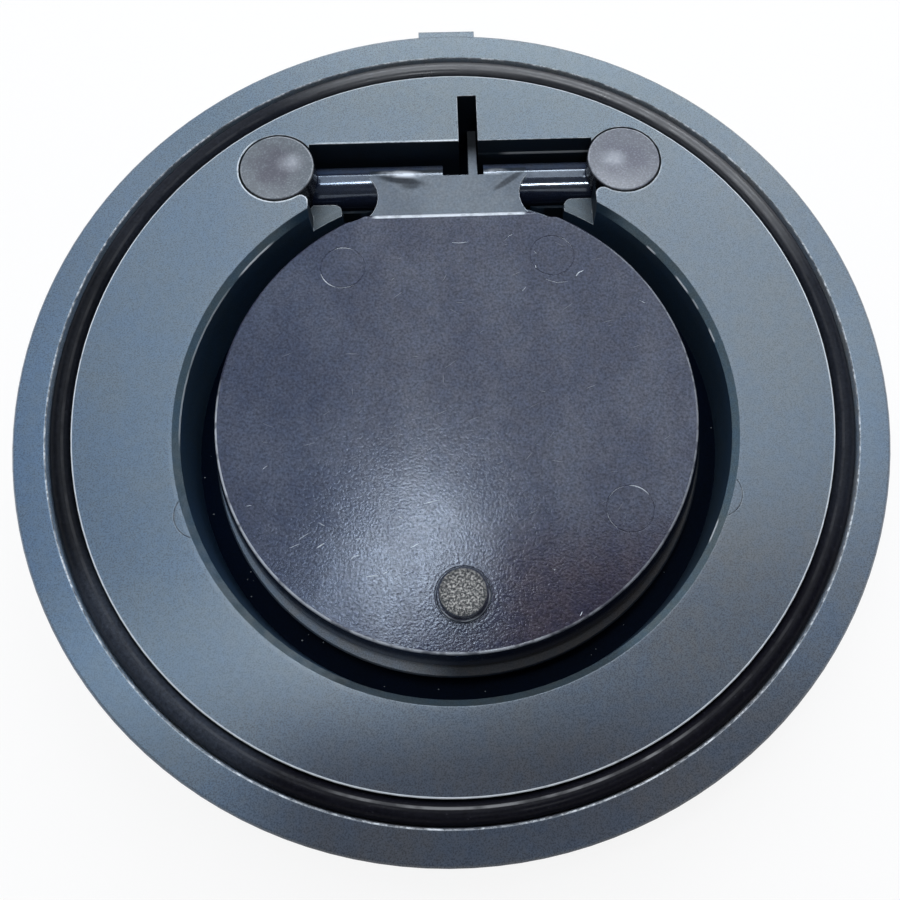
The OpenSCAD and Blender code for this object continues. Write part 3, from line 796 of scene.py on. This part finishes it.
def addRibbon(mesh, points, width, high, shade=0):
    left, right = [], []
    count = len(points)
    for index, point in enumerate(points):
        ahead = points[min(index + 1, count - 1)] - points[max(index - 1, 0)]
        across = Vector((-ahead.y, ahead.x, 0)).normalized()
        half = width * mm / 2 * math.sin(math.pi * (index + 0.35) / (count - 0.3)) ** 0.6  # tapers
        left.append(mesh.verts.new(point + across * half + Vector((0, 0, high))))
        right.append(mesh.verts.new(point - across * half + Vector((0, 0, high))))
    for index in range(count - 1):
        strip = mesh.faces.new((left[index], right[index], right[index + 1], left[index + 1]))
        strip.material_index = shade


def betweenPoints(points, steps, wobble, chance):
    line = []
    for first, second in zip(points, points[1:]):
        for step in range(steps):
            off = Vector((chance.uniform(-wobble, wobble), chance.uniform(-wobble, wobble), 0)) * mm
            line.append(first.lerp(second, step / steps) + off)
    return line + [points[-1]]


def addPinArc(mesh, look, centre, first, last, width, high):
    points = []
    for step in range(look["pinSteps"] + 1):
        turn = math.radians(first + (last - first) * step / look["pinSteps"])
        points.append(Vector((centre[0] + look["pinRadius"] * math.cos(turn),
                              centre[1] + look["pinRadius"] * math.sin(turn), 0)) * mm)
    addRibbon(mesh, points, width, high)


def addHairline(mesh, look, high, chance):
    away, turn = look["field"] * math.sqrt(chance.random()), chance.uniform(0, math.tau)
    start = Vector((away * math.cos(turn), discCentre.y / mm + away * math.sin(turn), 0)) * mm
    fromStud = (start - Vector((*flapperLook["stud"], 0)) * mm).length
    if start.y > look["stepClear"] * mm or fromStud < look["studClear"] * mm:
        return
    lean, long = chance.gauss(math.radians(look["lean"]), 0.5), chance.uniform(*look["lengths"])
    end = start + Vector((math.cos(lean), math.sin(lean), 0)) * long * mm
    if (end - Vector((0, discCentre.y, 0))).length < look["fieldEnd"] * mm:
        line = betweenPoints([start, end], 6, 0.03, chance)
        addRibbon(mesh, line, chance.uniform(*look["widths"]), high, 1)


def makeScratchPlastic(name, base, look):
    material, tree = newMaterial(name)
    fleck = noiseOf(tree, surfaceOf(tree).place, look["fleck"], 3, 0.7)
    finishMaterial(tree, Base_Color=grained(tree, base, fleck, 0.55, 1.25),
                   Roughness=spreadOf(tree, fleck, look["roughness"] - 0.08, look["roughness"] + 0.12),
                   Normal=bumpOf(tree, fleck, 0.4, look["fleckDepth"]))
    return material


def makeScratchesAndGlints(look):
    chance = random.Random(7)
    mesh = bmesh.new()
    high = flapperLook["topHeight"] + look["lift"]
    for *points, width in look["strokes"]:
        points = [Vector((x * mm, y * mm, 0)) for x, y in points]
        addRibbon(mesh, betweenPoints(points, 5, 0.05, chance), width, high)
    for arc in look["pinArcs"]:
        addPinArc(mesh, look, *arc, high)
    for hairline in range(look["hairlines"]):
        addHairline(mesh, look, high, chance)
    piece = addMesh("discScratches", mesh)
    for name, base in (("scratchedAndGlintPlastic", look["base"]), ("faintScratches", look["faint"])):
        piece.data.materials.append(makeScratchPlastic(name, base, look))
    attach(piece, "flapper")


makeScratchesAndGlints(scratchLook)
print("stage 4: disc scratches made")


# Dust on the floor of the trough: places in mm, and how many more are strewn around it
dustLook = {
    "places": ((-54.2, -45.9), (-35.9, -58.1), (-41.2, -57.4), (-54.6, -39.6), (-62.7, -34.4), (66.3, -31.0)),
    "strewn": 14,
    "size": (0.07, 0.20),
    "floor": 10.0,  # height of the trough's floor
    "ring": (64.2, 68.2),  # radii that the strewn crumbs lie between
    "flat": 0.6,  # how flat a crumb is
    "base": (0.42, 0.45, 0.48),
    "roughness": 0.85,
    "fleck": 0.3 * mm,
    "fleckDepth": 0.05 * mm,
}


def addCrumb(mesh, look, x, y, size, chance):
    made = bmesh.ops.create_icosphere(mesh, subdivisions=1, radius=size * mm)
    middle = Vector((x, y, look["floor"] + size * 0.5)) * mm
    for corner in made["verts"]:
        corner.co = Vector((corner.co.x * chance.uniform(0.6, 1.3), corner.co.y * chance.uniform(0.6, 1.3),
                            corner.co.z * look["flat"])) + middle


def makeDustPlastic(look):
    material, tree = newMaterial("dustCrumbs")
    fleck = noiseOf(tree, surfaceOf(tree).place, look["fleck"], 2)
    finishMaterial(tree, Base_Color=scaled(tree, look["base"], spreadOf(tree, fleck, 0.5, 1.2)),
                   Roughness=look["roughness"], Normal=bumpOf(tree, fleck, 0.5, look["fleckDepth"]))
    return material


def makeDust(look):
    chance = random.Random(11)
    mesh = bmesh.new()
    middle = discCentre.y / mm - bodyLook["recessOffset"] / mm
    crumbs = [(*place, chance.uniform(0.7, 1) * look["size"][1]) for place in look["places"]]
    for crumb in range(look["strewn"]):
        turn, away = chance.uniform(-math.pi, 0), chance.uniform(*look["ring"])
        crumbs.append((away * math.cos(turn), middle + away * math.sin(turn), chance.uniform(*look["size"])))
    for x, y, size in crumbs:
        addCrumb(mesh, look, x, y, size, chance)
    piece = addMesh("troughDust", mesh)
    piece.data.materials.append(makeDustPlastic(look))
    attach(piece, "body")


makeDust(dustLook)
print("stage 5: dust strewn")


# Hinge plugs: smooth satin mouldings, a touch more purple than the body and darker in the dish; the left one
# painted darker and the right one lighter, as painted shade and light
plugLook = {
    "left": {"rim": (0.066, 0.084, 0.106), "dish": (0.024, 0.027, 0.052), "rub": (-43.3, 67.9)},
    "right": {"rim": (0.104, 0.116, 0.148), "dish": (0.074, 0.080, 0.116), "rub": (45.0, 66.8)},
    # the plugs' sides: painted shade
    "side": (0.012, 0.013, 0.018),
    "white": (0.60, 0.62, 0.66),
    "glintColour": (0.36, 0.39, 0.44),
    "glintSize": (2.6, 2.1),
    "roughness": 0.24,
    "gloss": 0.55,
    "grain": 0.5 * mm,
    "grainDepth": 0.03 * mm,
    "tone": 4 * mm,
    "dishShift": 2.0 * mm,  # by which the tone shifts the dish's border in and out
    "dishFade": (2 * mm, 8 * mm),
    "edgeCircle": 9.6 * mm,
    "edgeWidth": 0.42 * mm,
    "edgeRadius": 0.28 * mm,
    "edgeHeight": (29.4 * mm, 29.9 * mm),
    "edgeWearAndGlint": (0.06, 0.34),
}


def makePlugPlastic(side, look):
    material, tree = newMaterial(side + "PlugPlastic")
    spot = surfaceOf(tree)
    own, gloss, roughness = look[side], look["gloss"], look["roughness"]
    fromMiddle = flatDistance(tree, spot.place, plugCentres[side])
    grain = noiseOf(tree, spot.place, look["grain"], 3)
    tone = noiseOf(tree, spot.place, look["tone"], 3)
    reach = calc(tree, "ADD", fromMiddle, spreadOf(tree, tone, -look["dishShift"], look["dishShift"]))
    colour = blendColour(tree, rangeOf(tree, reach, *look["dishFade"]), own["dish"], own["rim"])
    colour = blendColour(tree, rangeOf(tree, spot.facing, 0.3, 0.9), look["side"], colour)
    colour = grained(tree, colour, grain, 0.7, 1.3)
    # a painted highlight on each plug's dish
    rub = multiply(tree, ovalSpot(tree, spot.place, own["rub"], look["glintSize"], 0, 0.95),
                   spreadOf(tree, tone, 0.4, 0.8))
    colour = blendColour(tree, rub, colour, look["glintColour"])
    # a white line on the plug's edge, partly worn and partly painted highlight
    bevel, edge = edgeMask(tree, look["edgeRadius"])
    line = highest(tree, edge, circleLine(tree, fromMiddle, look["edgeCircle"], look["edgeWidth"]))
    wearAndGlint = multiply(tree, line, rangeOf(tree, tone, 0.35, 0.6, *look["edgeWearAndGlint"]),
                    rangeOf(tree, spot.height, *look["edgeHeight"]))
    finishMaterial(tree, Base_Color=blendColour(tree, wearAndGlint, colour, look["white"]),
                   Roughness=spreadOf(tree, grain, roughness - 0.03, roughness + 0.05),
                   Normal=bumpOf(tree, grain, 0.25, look["grainDepth"], bevel),
                   Specular_IOR_Level=spreadOf(tree, grain, gloss * 0.85, gloss * 1.15, smooth=False))
    return material


for side in plugCentres:
    giveMaterial("hinge_plug_" + side, makePlugPlastic(side, plugLook))
print("stage 6: hinge plugs finished")


# O-rings: black rubber, dull where dust clings and glossier where it is wiped, on the side of the hinge;
# painted shade low down and on the left, painted light low on the left, and a painted sheen line low down
rubberLook = {
    "base": (0.012, 0.014, 0.020),
    "low": (0.005, 0.005, 0.008),
    "lowLeft": (0.024, 0.029, 0.040),
    "dust": (0.06, 0.06, 0.062),
    "sheen": (0.17, 0.17, 0.175),
    "roughness": 0.33,
    "dullGloss": 0.05,
    "wipedGloss": 0.66,
    "patch": 7 * mm,
    "fleck": 0.7 * mm,
    "fleckDepth": 0.04 * mm,
    "sheenInset": 1.15 * mm,
    "sheenWidth": 0.75 * mm,
    # Stretches of the ring: direction, half width and fade in degrees; low, lowLeft and left carry painted
    # shade and light, sheen a painted sheen line
    "stretches": {
        "low": (-72, 38, 20),
        "sheen": (-84, 14, 16),
        "wiped": (68, 28, 25),
        "lowLeft": (-138, 10, 14),
        "left": (180, 16, 16),
    },
}


def makeRubber(look):
    material, tree = newMaterial("ringRubber")
    place = surfaceOf(tree).place
    stretches = aimMasks(tree, place, (0, 0), look["stretches"])
    patch = noiseOf(tree, place, look["patch"], 3)
    fleck = noiseOf(tree, place, look["fleck"], 4, 0.7)
    # painted shade low down and on the left, painted light low on the left
    colour = blendColour(tree, stretches["low"], look["base"], look["low"])
    colour = blendColour(tree, stretches["lowLeft"], colour, look["lowLeft"])
    colour = scaled(tree, colour, shareOf(tree, stretches["left"], 1.0, 0.5))
    colour = grained(tree, colour, fleck, 0.5, 1.5)
    fromAxis = flatDistance(tree, place, (0, 0))
    # a painted sheen line low on the ring
    line = circleLine(tree, fromAxis, ringRadius - look["sheenInset"], look["sheenWidth"])
    line = multiply(tree, line, shareOf(tree, stretches["sheen"], 0.12, 1.0),
                    rangeOf(tree, patch, 0.38, 0.6, 0.25, 1.0))
    colour = blendColour(tree, line, colour, look["sheen"])
    colour = blendColour(tree, rangeOf(tree, fleck, 0.64, 0.78, 0.0, 0.7), colour, look["dust"])
    specular = shareOf(tree, stretches["wiped"], look["dullGloss"], look["wipedGloss"], smooth=False)
    finishMaterial(tree, Base_Color=colour, Specular_IOR_Level=specular,
                   Roughness=spreadOf(tree, patch, look["roughness"] - 0.06, look["roughness"] + 0.1),
                   Normal=bumpOf(tree, fleck, 0.3, look["fleckDepth"]))
    return material


ringRubber = makeRubber(rubberLook)
for ring in ("outlet_face_ring", "inlet_face_ring", "flapper_seal"):
    giveMaterial(ring, ringRubber)
print("stage 7: rings finished")


# Floor and backdrop in one sweep, nearly white to the camera and in reflections
floorLook = {
    "radius": 2.2,
    "wall": 1.3,
    "cove": 0.4,
    "coveSteps": 8,
    "turnSteps": 64,
    "colour": (0.88, 0.88, 0.89),
    "whiteShare": 0.88,
}


def makeFloorPaper(look):
    material, tree = newMaterial("floorPaper")
    paths = addNode(tree, "LightPath").outputs
    seen = highest(tree, paths["Is Camera Ray"], paths["Is Glossy Ray"], paths["Is Transmission Ray"])
    paper = addNode(tree, "BsdfDiffuse", {"Color": withAlpha(look["colour"])}).outputs[0]
    white = addNode(tree, "Emission", {"Color": withAlpha(plain), "Strength": 1.0}).outputs[0]
    share = multiply(tree, seen, look["whiteShare"])
    setSurface(tree, addNode(tree, "MixShader", {0: share, 1: paper, 2: white}))
    return material


def makeFloor(look):
    low = cadBox[0].z
    flatEnd = look["radius"] - look["cove"]
    points = [(0.0, low), (flatEnd, low)]
    for step in range(1, look["coveSteps"] + 1):
        turn = math.radians(90 * step / look["coveSteps"])
        points.append((flatEnd + look["cove"] * math.sin(turn), low + look["cove"] * (1 - math.cos(turn))))
    points.append((look["radius"], low + look["wall"]))
    sweep = bmesh.new()
    corners = [sweep.verts.new((x, 0.0, z)) for x, z in points]
    edges = [sweep.edges.new(pair) for pair in zip(corners, corners[1:])]
    bmesh.ops.spin(sweep, geom=corners + edges, cent=(0, 0, 0), axis=(0, 0, 1), angle=math.tau,
                   steps=look["turnSteps"])
    bmesh.ops.remove_doubles(sweep, verts=sweep.verts, dist=1e-5)
    bmesh.ops.recalc_face_normals(sweep, faces=sweep.faces)
    floor = addMesh("floor", sweep)
    for face in floor.data.polygons:
        face.use_smooth = True
    floor.data.materials.append(makeFloorPaper(look))


makeFloor(floorLook)
print("stage 8: floor made")


# Lamps: azimuth from +Y towards +X, elevation, distance and roll, all aimed at the valve's face
daylight = (0.94, 0.985, 1.04)
lampLook = {
    "softbox": {"azimuth": 5.1, "elevation": 59.6, "distance": 0.95, "roll": 1.6, "size": (1.178, 0.765),
                "watts": 6.8, "colour": daylight},
    "skylight": {"azimuth": -32.0, "elevation": 81.0, "distance": 0.94, "roll": 32.0, "size": (0.17, 0.08),
                 "watts": 1.0, "colour": daylight},
    "strip": {"azimuth": -88.3, "elevation": 69.8, "distance": 0.984, "roll": -70.0, "size": (0.40, 0.10),
              "watts": 0.85, "colour": daylight},
    "sill": {"azimuth": 12.0, "elevation": 40.0, "distance": 0.95, "roll": 0.0, "size": (0.9, 0.08),
             "watts": 2.5, "colour": daylight},
    "wallGlow": {"azimuth": 8.0, "elevation": 27.0, "distance": 0.95, "roll": 0.0, "size": (1.0, 0.28),
                 "watts": 0.8, "colour": (0.90, 0.97, 1.06)},
    "backLine": {"azimuth": 168.0, "elevation": 60.0, "distance": 0.95, "roll": 0.0, "size": (0.18, 0.035),
                 "watts": 1.1, "colour": daylight},
}
skyLook = {"colour": (0.95, 0.98, 1.0), "strength": 0.07}


def addLamp(name, look):
    lamp = bpy.data.lights.new(name, "AREA")
    lamp.shape = "RECTANGLE"
    lamp.size, lamp.size_y = look["size"]
    lamp.energy = look["watts"]
    lamp.color = look["colour"]
    holder = addObject(name, lamp)
    around, up = math.radians(look["azimuth"]), math.radians(look["elevation"])
    outward = Vector((math.sin(around) * math.cos(up), math.cos(around) * math.cos(up), math.sin(up)))
    holder.location = Vector((0, 0, bodyHigh)) + outward * look["distance"]
    turned = outward.to_track_quat("Z", "Y") @ Quaternion((0, 0, 1), math.radians(look["roll"]))
    holder.rotation_euler = turned.to_euler()


def setSky(look):
    sky = bpy.data.worlds.new("sky")
    sky.use_nodes = True
    background = sky.node_tree.nodes["Background"]
    background.inputs["Color"].default_value = withAlpha(look["colour"])
    background.inputs["Strength"].default_value = look["strength"]
    bpy.context.scene.world = sky


for lampName, lampValues in lampLook.items():
    addLamp(lampName, lampValues)
setSky(skyLook)
print("stage 9: lamps set")


# Camera where the photograph was taken from: place in mm, turn in degrees
cameraLook = {
    "place": (3.27, -80.53, 247.45),
    "turn": (17.917, -1.563, -2.764),
    "lens": 36.93,
    "shift": (-0.0667, -0.0222),
    "clipStart": 0.01,
}


def addCamera(look):
    camera = bpy.data.cameras.new("camera")
    camera.lens = look["lens"]
    camera.shift_x, camera.shift_y = look["shift"]
    camera.clip_start = look["clipStart"]
    stand = addObject("camera", camera)
    stand.location = Vector(look["place"]) * mm
    stand.rotation_euler = Euler([math.radians(turn) for turn in look["turn"]])
    bpy.context.scene.camera = stand


addCamera(cameraLook)
bpy.context.scene.view_settings.view_transform = "Standard"
print("stage 10: camera set")
